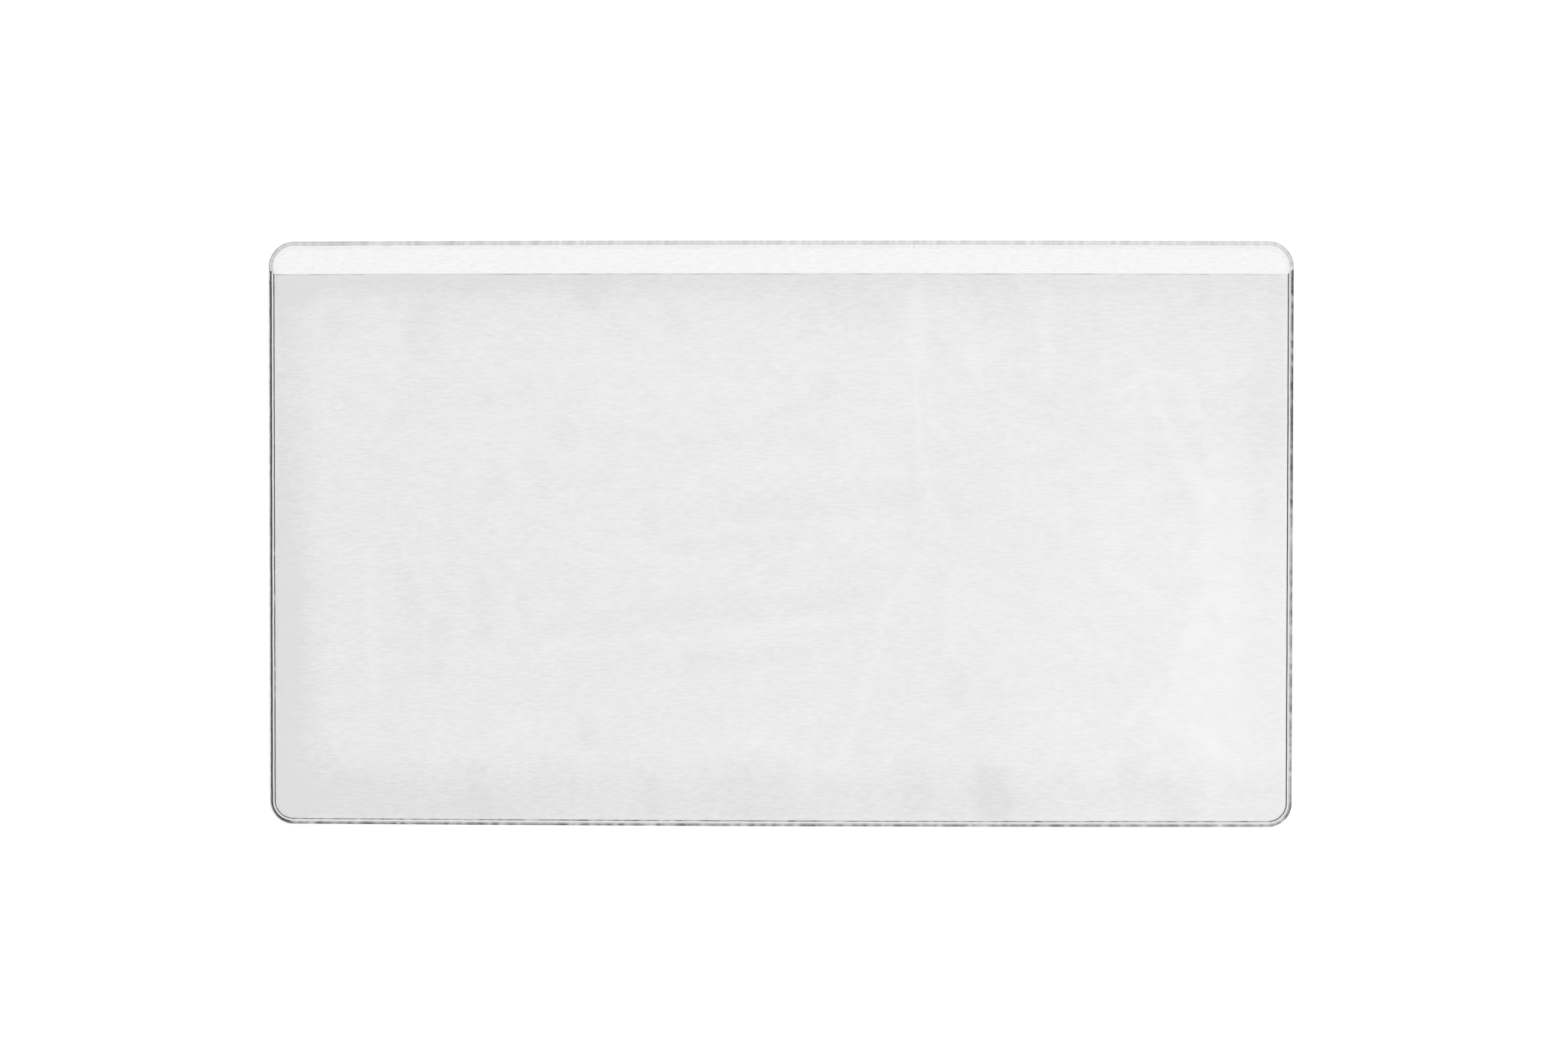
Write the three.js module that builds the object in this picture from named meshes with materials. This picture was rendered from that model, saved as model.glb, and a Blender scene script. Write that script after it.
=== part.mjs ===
// Self-adhesive pocket: two clear films welded along three sides, open at the top edge, with an
// adhesive back that is covered by a split release liner.
// Millimetres. X runs along the mouth, Y from the bottom weld up to the lip, Z out of the front.
// The origin is at the centre of the underside, where the liner rests.
import * as THREE from 'three';
import { mergeVertices } from 'three/addons/utils/BufferGeometryUtils.js';

// Outline, seen from the front
const pocketWidth = 105;
const pocketHeight = 60;
const topCornerRadius = 2.6;
const bottomCornerRadius = 2.4;
const lipHeight = 3.35; // back film that stands above the mouth

// Layers, from the back to the front
const linerThickness = 0.12;
const adhesiveThickness = 0.04;
const backFilmThickness = 0.18;
const pocketSpace = 0.1; // between the two films when the pocket is empty
const frontFilmThickness = 0.15;
const adhesiveInset = 0.8; // the adhesive stops short of the cut edge

// Weld: an outer edge bead and a thin ridge with a pressed groove on each side of it.
// Each place is an inset from the outline, each level a height above the back film.
const weldWidth = 0.68;
const edgeBeadPlace = 0.13;
const edgeBeadLevel = 0.31;
const edgeWallLevel = 0.12;
const outerGroovePlace = 0.27;
const grooveLevel = 0.11;
const ridgePlace = 0.39;
const ridgeLevel = 0.35;
const innerGroovePlace = 0.51;
const weldEndRise = 0.5; // the weld's ends run out diagonally above the mouth
const weldEndDrop = 0.1; // and start this far below it at the weld's inner side
const filmClearance = 0.1; // between the weld and the part of the front film that lifts

// Bead left by the hot cut along the lip, which is back film alone
const lipBeadWidth = 0.36;
const lipBeadHeight = 0.09;
const lipBeadTaper = 0.15;
const beadEndClearance = 0.05; // from the weld's diagonal ends

// Slit that parts the liner: from the top edge to a knee, then down to the foot at the bottom edge
const slitTopPlace = 13.7;
const slitKneePlace = 16.3;
const slitKneeHeight = 2.5;
const slitKneeReach = 5.5; // how far the bend is drawn out on each side of the knee
const slitFootPlace = 2.3;
const slitGap = 0.12;

// Fineness of the round stretches
const cornerSteps = 14;
const weldSectionSteps = 22;
const beadSteps = 6;
const slitSteps = 10;
const closestStations = 0.01;

// Places that follow from the sizes above
const halfWidth = pocketWidth / 2;
const halfHeight = pocketHeight / 2;
const mouthHeight = halfHeight - lipHeight;
const topCentreHeight = halfHeight - topCornerRadius;
const bottomCentreHeight = bottomCornerRadius - halfHeight;
const adhesiveLevel = linerThickness;
const backFilmLevel = adhesiveLevel + adhesiveThickness;
const backFilmFront = backFilmLevel + backFilmThickness;
const frontFilmLevel = backFilmFront + pocketSpace;
const frontFilmInset = weldWidth + filmClearance;

const filmMaterial = () => new THREE.MeshStandardMaterial({
  color: 0xf2f3f3, roughness: 0.22, metalness: 0, transparent: true, opacity: 0.4,
});
const weldMaterial = () => new THREE.MeshStandardMaterial({
  color: 0xc4c6c7, roughness: 0.18, metalness: 0, transparent: true, opacity: 0.7,
});
const adhesiveMaterial = () => new THREE.MeshStandardMaterial({
  color: 0xf4f3ee, roughness: 0.45, metalness: 0, transparent: true, opacity: 0.8,
});
const linerMaterial = () => new THREE.MeshStandardMaterial({
  color: 0xf6f6f4, roughness: 0.6, metalness: 0,
});

// A place on the right side of the outline at a given height, with its outward direction
function sideStation(y) {
  if (y > topCentreHeight) {
    const sine = (y - topCentreHeight) / topCornerRadius;
    return cornerStation(topCornerRadius, topCentreHeight, Math.asin(sine));
  }
  if (y < bottomCentreHeight) {
    const sine = (y - bottomCentreHeight) / bottomCornerRadius;
    return cornerStation(bottomCornerRadius, bottomCentreHeight, Math.asin(sine));
  }
  return { x: halfWidth, y, outX: 1, outY: 0 };
}

function cornerStation(radius, centreHeight, angle) {
  const outX = Math.cos(angle);
  const outY = Math.sin(angle);
  return {
    x: halfWidth - radius + radius * outX,
    y: centreHeight + radius * outY,
    outX,
    outY,
  };
}

// Stations up the right side, round both corners, with extra ones at the given heights
function rightStations(extraHeights = []) {
  const stations = extraHeights.map(sideStation);
  for (let i = 0; i <= cornerSteps; i++) {
    const turn = (i / cornerSteps) * Math.PI / 2;
    stations.push(cornerStation(bottomCornerRadius, bottomCentreHeight, turn - Math.PI / 2));
    stations.push(cornerStation(topCornerRadius, topCentreHeight, turn));
  }
  stations.sort((a, b) => a.y - b.y);
  return stations.filter((s, i) => i === 0 || s.y - stations[i - 1].y > closestStations);
}

function mirrored(stations) {
  return stations.map((s) => ({ ...s, x: -s.x, outX: -s.outX })).reverse();
}

function insetPoint(station, inset, z) {
  return new THREE.Vector3(station.x - inset * station.outX, station.y - inset * station.outY, z);
}

// A point on the right side of the inset outline, given by its own height
function sidePoint(y, inset, z) {
  if (y <= topCentreHeight) return new THREE.Vector3(halfWidth - inset, y, z);
  const reach = Math.sqrt((topCornerRadius - inset) ** 2 - (y - topCentreHeight) ** 2);
  return new THREE.Vector3(halfWidth - topCornerRadius + reach, y, z);
}

function solidFrom(points, faces) {
  const geometry = new THREE.BufferGeometry();
  geometry.setAttribute(
    'position',
    new THREE.Float32BufferAttribute(points.flatMap((p) => [p.x, p.y, p.z]), 3),
  );
  geometry.setIndex(faces.flat());
  return mergeVertices(geometry);
}

// Faces between neighbouring rings of points, each ring holding the same number of them
function wallFaces(rings, count, ringsClose, pointsClose) {
  const faces = [];
  const lastRing = ringsClose ? rings : rings - 1;
  const lastPoint = pointsClose ? count : count - 1;
  for (let i = 0; i < lastRing; i++) {
    for (let j = 0; j < lastPoint; j++) {
      const a = i * count + j;
      const b = i * count + (j + 1) % count;
      const c = ((i + 1) % rings) * count + j;
      const d = ((i + 1) % rings) * count + (j + 1) % count;
      faces.push([a, c, b], [b, c, d]);
    }
  }
  return faces;
}

function capFaces(flatPoints, indexOf, flipped) {
  return THREE.ShapeUtils.triangulateShape(flatPoints, []).map(([a, b, c]) => (
    flipped ? [indexOf(a), indexOf(c), indexOf(b)] : [indexOf(a), indexOf(b), indexOf(c)]
  ));
}

function roundedOutline(inset) {
  const top = Math.max(topCornerRadius - inset, closestStations);
  const bottom = Math.max(bottomCornerRadius - inset, closestStations);
  const right = halfWidth - inset;
  const high = halfHeight - inset;
  const shape = new THREE.Shape();
  shape.moveTo(right - bottom, -high);
  shape.absarc(right - bottom, bottom - high, bottom, -Math.PI / 2, 0);
  shape.absarc(right - top, high - top, top, 0, Math.PI / 2);
  shape.absarc(top - right, high - top, top, Math.PI / 2, Math.PI);
  shape.absarc(bottom - right, bottom - high, bottom, Math.PI, Math.PI * 1.5);
  shape.closePath();
  return shape;
}

function sheet(shape, thickness, level) {
  const geometry = new THREE.ExtrudeGeometry(shape, {
    depth: thickness, bevelEnabled: false, curveSegments: cornerSteps,
  });
  geometry.deleteAttribute('normal');
  geometry.deleteAttribute('uv');
  return mergeVertices(geometry).translate(0, 0, level);
}

// The slit's line, from the top edge down to the bottom edge, moved sideways by half the gap
function slitLine(shift) {
  const knee = new THREE.Vector2(slitKneePlace + shift, slitKneeHeight);
  const upper = new THREE.QuadraticBezierCurve(
    new THREE.Vector2(slitTopPlace + shift, halfHeight),
    new THREE.Vector2(knee.x, knee.y + slitKneeReach),
    knee,
  );
  const lower = new THREE.QuadraticBezierCurve(
    knee,
    new THREE.Vector2(knee.x, knee.y - slitKneeReach),
    new THREE.Vector2(slitFootPlace + shift, -halfHeight),
  );
  return [...upper.getPoints(slitSteps), ...lower.getPoints(slitSteps).slice(1)];
}

// One half of the liner: side is -1 on the left of the slit and 1 on the right
function linerHalf(side) {
  const line = slitLine(side * slitGap / 2);
  const shape = new THREE.Shape();
  shape.moveTo(line[0].x, line[0].y);
  line.slice(1).forEach((p) => shape.lineTo(p.x, p.y));
  const bottomCentre = side * (halfWidth - bottomCornerRadius);
  const topCentre = side * (halfWidth - topCornerRadius);
  const outward = side > 0 ? 0 : Math.PI;
  shape.absarc(
    bottomCentre, bottomCentreHeight, bottomCornerRadius, outward - side * Math.PI / 2, outward, side < 0,
  );
  shape.absarc(
    topCentre, topCentreHeight, topCornerRadius, outward, outward + side * Math.PI / 2, side < 0,
  );
  shape.closePath();
  return sheet(shape, linerThickness, 0);
}

// Back film: a plain sheet whose front face carries the bead of the cut edge along the lip
function backFilm() {
  const beadStart = mouthHeight + weldEndRise + beadEndClearance;
  const right = rightStations([beadStart, beadStart + lipBeadTaper]);
  const stations = [...right, ...mirrored(right)];
  const section = (station) => {
    const share = THREE.MathUtils.smoothstep(station.y, beadStart, beadStart + lipBeadTaper);
    const points = [insetPoint(station, lipBeadWidth, backFilmLevel)];
    points.push(insetPoint(station, 0, backFilmLevel));
    for (let i = 0; i <= beadSteps; i++) {
      const rise = lipBeadHeight * share * Math.sin((Math.PI * i) / beadSteps);
      points.push(insetPoint(station, (lipBeadWidth * i) / beadSteps, backFilmFront + rise));
    }
    return points;
  };
  const rings = stations.map(section);
  const count = rings[0].length;
  const flat = rings.map((ring) => new THREE.Vector2(ring[0].x, ring[0].y));
  const faces = [
    ...wallFaces(rings.length, count, true, false),
    ...capFaces(flat, (i) => i * count, true),
    ...capFaces(flat, (i) => i * count + count - 1, false),
  ];
  return solidFrom(rings.flat(), faces);
}

// Weld profile as [inset, level] pairs, from the outer foot over the crests to the inner foot
function weldProfile() {
  const crests = new THREE.SplineCurve([
    new THREE.Vector2(0, edgeWallLevel),
    new THREE.Vector2(edgeBeadPlace, edgeBeadLevel),
    new THREE.Vector2(outerGroovePlace, grooveLevel),
    new THREE.Vector2(ridgePlace, ridgeLevel),
    new THREE.Vector2(innerGroovePlace, grooveLevel),
    new THREE.Vector2(weldWidth, pocketSpace + frontFilmThickness),
  ]);
  const top = crests.getPoints(weldSectionSteps).map((p) => [p.x, p.y]);
  return [[0, 0], ...top, [weldWidth, 0]];
}

// Weld seam: the profile swept down one side, along the bottom and up the other side
function weldSeam() {
  const profile = weldProfile();
  const innerEnd = mouthHeight - weldEndDrop;
  const endHeight = (inset) => (
    innerEnd + (weldEndRise + weldEndDrop) * (1 - inset / weldWidth)
  );
  const rightEnd = profile.map(([inset, level]) => (
    sidePoint(endHeight(inset), inset, backFilmFront + level)
  ));
  const leftEnd = rightEnd.map((p) => new THREE.Vector3(-p.x, p.y, p.z));
  const right = rightStations().filter((s) => s.y < innerEnd - closestStations);
  const rings = [...mirrored(right), ...right].map((station) => (
    profile.map(([inset, level]) => insetPoint(station, inset, backFilmFront + level))
  ));
  const all = [leftEnd, ...rings, rightEnd];
  const flat = profile.map(([inset, level]) => new THREE.Vector2(inset, level));
  const count = profile.length;
  const last = (all.length - 1) * count;
  const faces = [
    ...wallFaces(all.length, count, false, true),
    ...capFaces(flat, (i) => i, true),
    ...capFaces(flat, (i) => last + i, false),
  ];
  return solidFrom(all.flat(), faces);
}

// Front film: the panel inside the weld, square at the mouth and rounded at the bottom
function frontFilm() {
  const right = halfWidth - frontFilmInset;
  const low = -halfHeight + frontFilmInset;
  const radius = Math.max(bottomCornerRadius - frontFilmInset, closestStations);
  const shape = new THREE.Shape();
  shape.moveTo(right, mouthHeight);
  shape.lineTo(-right, mouthHeight);
  shape.absarc(radius - right, low + radius, radius, Math.PI, Math.PI * 1.5);
  shape.absarc(right - radius, low + radius, radius, -Math.PI / 2, 0);
  shape.closePath();
  return sheet(shape, frontFilmThickness, frontFilmLevel);
}

function piece(name, geometry, material) {
  const mesh = new THREE.Mesh(geometry, material);
  mesh.name = name;
  return mesh;
}

const pocket = new THREE.Group();
pocket.add(
  piece('front_film', frontFilm(), filmMaterial()),
  piece('back_film', backFilm(), filmMaterial()),
  piece('weld_seam', weldSeam(), weldMaterial()),
  piece('adhesive_coat', sheet(roundedOutline(adhesiveInset), adhesiveThickness, adhesiveLevel), adhesiveMaterial()),
  piece('liner_left', linerHalf(-1), linerMaterial()),
  piece('liner_right', linerHalf(1), linerMaterial()),
);

export default pocket;
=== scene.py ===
import math

import bpy
import numpy as np
from mathutils import Euler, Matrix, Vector, noise

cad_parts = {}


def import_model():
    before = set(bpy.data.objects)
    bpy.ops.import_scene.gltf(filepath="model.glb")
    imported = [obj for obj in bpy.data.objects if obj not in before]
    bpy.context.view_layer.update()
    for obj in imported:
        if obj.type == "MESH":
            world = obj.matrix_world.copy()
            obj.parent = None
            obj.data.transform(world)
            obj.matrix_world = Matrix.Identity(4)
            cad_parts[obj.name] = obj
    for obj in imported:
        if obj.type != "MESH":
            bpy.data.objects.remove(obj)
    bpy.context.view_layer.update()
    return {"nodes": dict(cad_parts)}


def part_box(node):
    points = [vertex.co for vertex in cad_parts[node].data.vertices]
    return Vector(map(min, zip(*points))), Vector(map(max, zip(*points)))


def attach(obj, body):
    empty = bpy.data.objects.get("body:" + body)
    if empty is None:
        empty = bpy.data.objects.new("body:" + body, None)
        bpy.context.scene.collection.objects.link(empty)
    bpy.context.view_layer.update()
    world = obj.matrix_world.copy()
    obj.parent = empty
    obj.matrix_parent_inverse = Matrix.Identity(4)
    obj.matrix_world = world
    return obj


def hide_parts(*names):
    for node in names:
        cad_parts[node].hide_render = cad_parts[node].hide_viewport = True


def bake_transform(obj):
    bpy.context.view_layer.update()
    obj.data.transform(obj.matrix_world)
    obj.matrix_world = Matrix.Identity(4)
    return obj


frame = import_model()

MM = 0.001

# Sizes read from the fixed frame
film_low, film_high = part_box("back_film")
front_low, front_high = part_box("front_film")
weld_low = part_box("weld_seam")[0]
HALF_WIDTH = film_high.x
HALF_HEIGHT = film_high.y
BACK_LEVEL = film_low.z
BACK_FRONT = weld_low.z
MOUTH = front_high.y
FRONT_LEVEL = front_low.z
FRONT_FACE = front_high.z

# Sizes of the outline, weld and lip, as the construction has them
TOP_RADIUS = 2.6 * MM
BOTTOM_RADIUS = 2.4 * MM
WELD_WIDTH = 0.68 * MM
WELD_END_RISE = 0.5 * MM
WELD_END_DROP = 0.1 * MM
LIP_BEAD_WIDTH = 0.36 * MM
LIP_BEAD_HEIGHT = 0.09 * MM
LIP_BEAD_TAPER = 0.15 * MM
BEAD_END_CLEARANCE = 0.05 * MM
# Weld profile: (inset from the outline, level above the back film)
WELD_PROFILE = [(0, 0.12), (0.13, 0.31), (0.27, 0.11), (0.39, 0.35), (0.51, 0.11), (0.68, 0.25)]

SKIN = 0.003 * MM          # gap between faces that would otherwise share a plane
EDGE_BOW = 0.12 * MM       # how far the long edges bow
SHARP_ANGLE = math.radians(50)

# Steps along the outline: on straight runs and round the corners
OUTLINE_STEPS = (0.25 * MM, 0.12 * MM)
GLUE_OUTLINE_STEPS = (2 * MM, 0.3 * MM)

# Lip bead: points over its width, the back film's inner loop in bead widths, and how uneven it is
BEAD_STEPS = 16
BEAD_LOOP = 1.3
BEAD_LEAN = 0.8            # below 1 the crown lies nearer the film's edge
BEAD_FLARE = 1.5           # above 1 the foot runs out softly
BEAD_HEIGHT_SPREAD = 0.3
BEAD_WIDTH_SPREAD = 0.12

# Weld: points over its profile, and how uneven it is
WELD_POINTS = 48
WELD_SWAY = 0.02 * MM
WELD_LIFT_SPREAD = 0.07
WELD_END_STEP = 0.05 * MM

# Unevenness along the outline: noise cells per millimetre, the noise's lane, and octaves
BEAD_HEIGHT_NOISE = (0.9, 3.1, 0.5, 3)
BEAD_WIDTH_NOISE = (0.5, 8.4, 1.5, 3)
BEAD_SHADE_NOISE = (2.6, 6.0, 2.5, 4)
WELD_SWAY_NOISE = (0.35, 1.7, 4.2, 5)
WELD_LIFT_NOISE = (1.3, 5.2, 2.2, 4)
OUTER_SHADE_NOISE = (1.2, 11.0, 3.3, 5)
INNER_SHADE_NOISE = (1.5, 21.0, 7.3, 5)

# How dark the painted shade on the weld and the lip's bead is, where their slopes refract, by the inset from
# the outline in millimetres
WELD_SHADE_PLACES = np.array([0, 0.03, 0.15, 0.175, 0.26, 0.325, 0.34, 0.475, 0.495, 0.585, 0.605, 0.68])
WELD_SHADE_LEFT = np.array([0.3, 0.3, 0.3, 2.0, 2.0, 1.6, 0, 0, 1.3, 1.3, 0, 0])
WELD_SHADE_RIGHT = np.array([0.5, 0.75, 0.7, 0.5, 0.45, 0.4, 0, 0, 2.0, 2.0, 0, 0])
WELD_SHADE_BOTTOM = np.array([0.35, 0.85, 0.6, 0.5, 0.4, 0.3, 0, 0, 0.66, 0.66, 0, 0])
LIP_SHADE_PLACES = np.array([0, 0.02, 0.12, 0.15, 0.21, 0.25, 0.37, 0.43])
LIP_SHADE_TOP = np.array([0.32, 0.4, 0.36, 0.16, 0.15, 0.34, 0.3, 0])
LIP_SHADE_SIDE = np.array([0.5, 0.6, 0.5, 0.2, 0.2, 0.36, 0.32, 0])

# How these painted shade lines vary along the outline
BEAD_SHADE_LEVEL, BEAD_SHADE_SLOPE, BEAD_SHADE_SPREAD = 0.87, 0.18, 0.55
OUTER_SHADE_SPREAD, INNER_SHADE_SPREAD = 0.6, 0.7
OUTER_SHADE_END = 0.3      # the inset that parts the outer line from the inner one
# painted shade: the weld darker to the left side
WELD_SHADE_SLOPE = 0.12
WELD_SHADE_HIGH_RIGHT, HIGH_RIGHT_REACH = 0.44, 5

# Nicks in the weld's inner line, where extra shade is painted, in millimetres from the pocket's centre
NICKS = [
    (-51.9, -27.0), (1.3, -29.4), (-51.9, 25.0), (-20.0, -29.3), (26.5, -29.4), (51.8, 12.5), (51.8, -8.0),
]
NICK_SIZE = 0.3
NICK_SHADE = 1.5
NICK_EDGE = 1.4            # where a nick ends, in nick sizes

# The front film's mesh: rows and columns, the last rows' distances from the mouth in millimetres,
# the wave of its surface, and the rounding of its cut edge
FILM_ROWS = 170
FILM_COLUMNS = 156
FILM_CORNER_POINTS = 9
COLUMN_SPREAD = 1.1        # above 1 the columns are wider apart near the weld
MOUTH_STEPS = np.array([0.3, 0.2, 0.125, 0.12, 0.06, 0.03, 0.0])
FILM_WAVE = 0.03 * MM
CALM_REACH = 4 * MM
CUT_ROUND = 0.05 * MM
CUT_ROUND_REACH = 0.1

# Painted shade along the mouth's cut edge, where the edge refracts, and its dashes
MOUTH_SHADE = 0.18
MOUTH_SHADE_WIDTH = 0.121
MOUTH_DASHES, MOUTH_DASH_FLOOR = 1.3, -0.6

# Noise over the front film: cells per millimetre across and up, seed, octaves
CLOUD_FIELD = (0.11, 0.14, 5, 4)
FINE_FIELD = (0.45, 0.8, 6, 3)
DRIP_FIELD = (0.35, 0.05, 7, 3)
BOTTOM_FIELD = (0.4, 0.04, 8, 3)
COAST_FIELD = (0.25, 0.2, 9, 4)
WAVE_FIELD = (0.07, 0.1, 11, 2)
DASH_FIELD = (0.7, 0, 12, 4)
RAGGED_ACROSS_FIELD = (0.55, 0.55, 3, 3)
RAGGED_UP_FIELD = (0.55, 0.55, 4, 3)
FIELD_CELLS = 128
FIELD_SHIFT = 500          # keeps all places on the positive side of the noise
FIELD_SIZE, FIELD_DECAY = 0.6, 0.55

# How closely the front film lies, as a share of contact, with a painted light gradient and a painted
# highlight among the terms. Places and reaches are in millimetres.
BASE_CONTACT = 0.535
CLOUD_CONTACT = 0.06
FINE_CONTACT = 0.08
# painted light: the film lighter to the right and darker to the left, more so low down
PAINTED_SIDE_LIGHT = 0.062
# Air along the left weld: its strength, start and reach, and how it swells along the side
LEFT_AIR, LEFT_AIR_START, LEFT_AIR_REACH = 0.5, 0.6, 5.5
LEFT_SWELL_LEVEL, LEFT_SWELL, LEFT_SWELL_PLACE, LEFT_SWELL_PACE = 0.75, 0.25, 4, 0.11
LEFT_FADE, LEFT_FADE_REACH = 0.14, 12
# Air under the mouth and along the bottom: strength, start, reach, unevenness, and how much less at the right
MOUTH_AIR, MOUTH_AIR_START, MOUTH_AIR_REACH, MOUTH_AIR_DRIP, MOUTH_AIR_SLOPE = 0.21, 0.6, 2.6, 0.8, 0.65
MOUTH_FADE, MOUTH_FADE_REACH, MOUTH_FADE_SLOPE = 0.16, 9, 0.3
BOTTOM_AIR, BOTTOM_AIR_START, BOTTOM_AIR_REACH, BOTTOM_AIR_DRIP, BOTTOM_AIR_SLOPE = 0.25, 3.2, 4.6, 0.9, 0.4
# Closer contact low at the right, looser contact high at the right: strength, then start and reach each way
RIGHT_CONTACT, RIGHT_CONTACT_ACROSS, RIGHT_CONTACT_DOWN = 0.08, (18, 20), (-10, 12)
RIGHT_AIR, RIGHT_AIR_ACROSS, RIGHT_AIR_UP = 0.11, (44, 6), (2, 10)
# The clinging patch at the right: strength, its curved left side, its soft edges and its slanting foot
PATCH_CONTACT = 0.145
PATCH_SIDE, PATCH_CURVE, PATCH_TURN, PATCH_RAGGED, PATCH_SOFTNESS = 42.3, 0.0085, 5.2, 1.5, 1.7
PATCH_TOP, PATCH_TOP_REACH, PATCH_TOP_CLOUD = 14, 7, 3
PATCH_FAR_SIDE, PATCH_FAR_REACH, PATCH_FAR_SHARE = 45.5, 4, 0.95
PATCH_FOOT, PATCH_FOOT_REACH, PATCH_FOOT_SLOPE = (36.5, -20.2), 4, 0.6
# painted highlight: a light band on the front film just inside the side and bottom weld
PAINTED_WELD_HIGHLIGHT, PAINTED_WELD_HIGHLIGHT_REACH = 0.35, 0.4

# The front film clings to the back film here and there, where it looks lighter, and trapped air looks darker.
# Each stroke was read off the photograph and listed: its first end and its last end, across and
# down, and half its width, all in the photograph's pixels, and then its strength.
AIR_STRENGTH = 0.27
AIR_STROKES = [
    (775, 372, 775, 385, 24.2, 0.80), (560, 418, 560, 450, 24, 0.60), (371, 363, 397, 363, 16.5, 0.45),
    (440, 412, 443, 430, 14, 0.50), (875, 412, 880, 425, 14, 0.35), (1060, 412, 1057, 428, 13, 0.35),
    (1100, 400, 1145, 405, 24, 0.35), (1295, 372, 1305, 392, 28, 0.35), (1570, 370, 1570, 390, 14, 0.50),
    (635, 515, 637, 520, 11, 0.40), (685, 505, 687, 515, 12, 0.40), (520, 545, 522, 548, 12, 0.40),
    (647, 625, 643, 640, 15.9, 0.30), (697, 605, 707, 630, 18, 0.35), (735, 560, 745, 575, 14, 0.25),
    (850, 665, 853, 690, 12, 0.40), (530, 755, 540, 800, 14, 0.42), (584, 766, 585, 817, 10.2, 0.28),
    (631, 770, 635, 820, 16.5, 0.42), (644, 729, 664, 750, 10.2, 0.26), (685, 780, 687, 810, 11, 0.40),
    (575, 820, 570, 870, 12, 0.30), (765, 950, 767, 962, 13, 0.42), (625, 1005, 628, 1055, 13, 0.65),
    (430, 995, 450, 1025, 16, 0.55), (1195, 1000, 1197, 1040, 20, 0.40),
    (1297, 1015, 1303, 1060, 22.9, 0.85), (1480, 980, 1485, 1050, 18, 0.50),
    (1520, 1030, 1540, 1055, 24, 0.60), (1585, 795, 1586, 807, 9, 0.50), (1564, 760, 1566, 775, 10, 0.50),
    (1643, 650, 1647, 685, 12, 0.40), (1647, 488, 1646, 582, 19.1, 0.20), (997, 585, 1025, 535, 9.5, 0.36),
    (1030, 530, 1090, 505, 12, 0.35), (1240, 650, 1255, 670, 12, 0.15), (1230, 750, 1220, 870, 10, 0.25),
    (1247, 875, 1250, 900, 14, 0.30), (965, 662, 1200, 645, 19.1, 0.36), (880, 712, 1035, 705, 9.5, 0.28),
    (735, 815, 955, 790, 16.5, 0.36), (955, 800, 1125, 778, 14, 0.32), (900, 868, 1055, 852, 12.1, 0.34),
    (375, 780, 377, 880, 16, 0.55), (1025, 562, 1085, 580, 12, 0.30), (905, 575, 955, 568, 14, 0.25),
    (1600, 940, 1605, 1020, 10, 0.20), (965, 1020, 967, 1050, 20, 0.30), (855, 1025, 857, 1055, 12, 0.25),
]
CLING_STRENGTH = 0.24
CLING_STROKES = [
    (1197, 382, 1199, 465, 13, 0.55), (1197, 465, 1199, 590, 4, 0.35), (1216, 480, 1217, 590, 4, 0.30),
    (1207, 600, 1219, 645, 6.4, 0.50), (1219, 645, 1240, 685, 7, 0.42), (1201, 730, 1157, 800, 7, 0.26),
    (1157, 800, 1141, 880, 6.4, 0.30), (1141, 880, 1107, 975, 6.4, 0.32), (1107, 975, 1087, 1002, 8.9, 0.42),
    (1270, 460, 1271, 472, 13, 0.45), (1369, 390, 1367, 490, 9, 0.35), (1410, 535, 1413, 540, 9, 0.30),
    (1455, 515, 1500, 485, 8, 0.40), (1500, 485, 1550, 490, 7, 0.45), (1500, 495, 1535, 580, 7, 0.46),
    (1535, 580, 1575, 650, 11.4, 0.46), (1550, 490, 1567, 540, 8, 0.50), (1445, 740, 1505, 775, 12.7, 0.34),
    (1505, 775, 1535, 800, 9, 0.40), (1408, 831, 1450, 849, 9, 0.35), (1435, 695, 1465, 709, 12.7, 0.28),
    (1481, 638, 1516, 628, 14, 0.30), (1475, 940, 1525, 885, 8, 0.45), (1388, 933, 1408, 938, 10, 0.40),
    (1440, 1000, 1500, 970, 11, 0.35), (1320, 580, 1345, 590, 8, 0.25), (1375, 570, 1425, 585, 8, 0.20),
    (485, 730, 490, 900, 10, 0.30), (895, 615, 1035, 612, 5.7, 0.16), (1035, 612, 1195, 618, 5.7, 0.20),
    (935, 692, 1105, 678, 7.6, 0.18), (1105, 678, 1205, 692, 5, 0.25), (775, 732, 975, 730, 5, 0.20),
    (715, 845, 895, 835, 7, 0.35), (895, 835, 1125, 805, 8.3, 0.27), (815, 900, 895, 890, 6, 0.20),
    (1625, 400, 1635, 410, 10, 0.35), (990, 960, 991, 966, 9, 0.25), (865, 500, 955, 505, 18, 0.15),
    (1585, 976, 1613, 995, 11.4, 0.35), (1595, 1012, 1587, 1053, 10.2, 0.30),
]
# The pocket's centre in the photograph's pixels, and how many pixels make a millimetre
CENTRE_ACROSS, CENTRE_DOWN = 1020.1, 696.4
PIXELS_PER_MM = 12.72
STROKE_RAGGED = 0.55       # how far noise moves a stroke's edge
STROKE_END, STROKE_SOFTNESS = 1.5, 1.1

# Grains in the materials: noise cells per metre, how far they are drawn out along X, and detail
FILM_GRAIN = (5500, 5.0, 1.5)
GLUE_GRAIN = (6500, 4.0, 1.5)
FIBRE_GRAIN = (2500, 2.5, 5.0)
CLOUD_GRAIN = (160, 1.0, 2.0)
MID_NOISE = (0.3, 0.7)     # the range of the noise that counts
WIDE_NOISE = (0.2, 0.8)

# Clear film: the strength of its fine dashes, how loose the film counts where it holds only air, and over
# what height the lip's dashes set in above the mouth
DASHES = 0.1
DASH_LOOSENESS = 1.5
LIP_EDGE = 0.2 * MM
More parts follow.
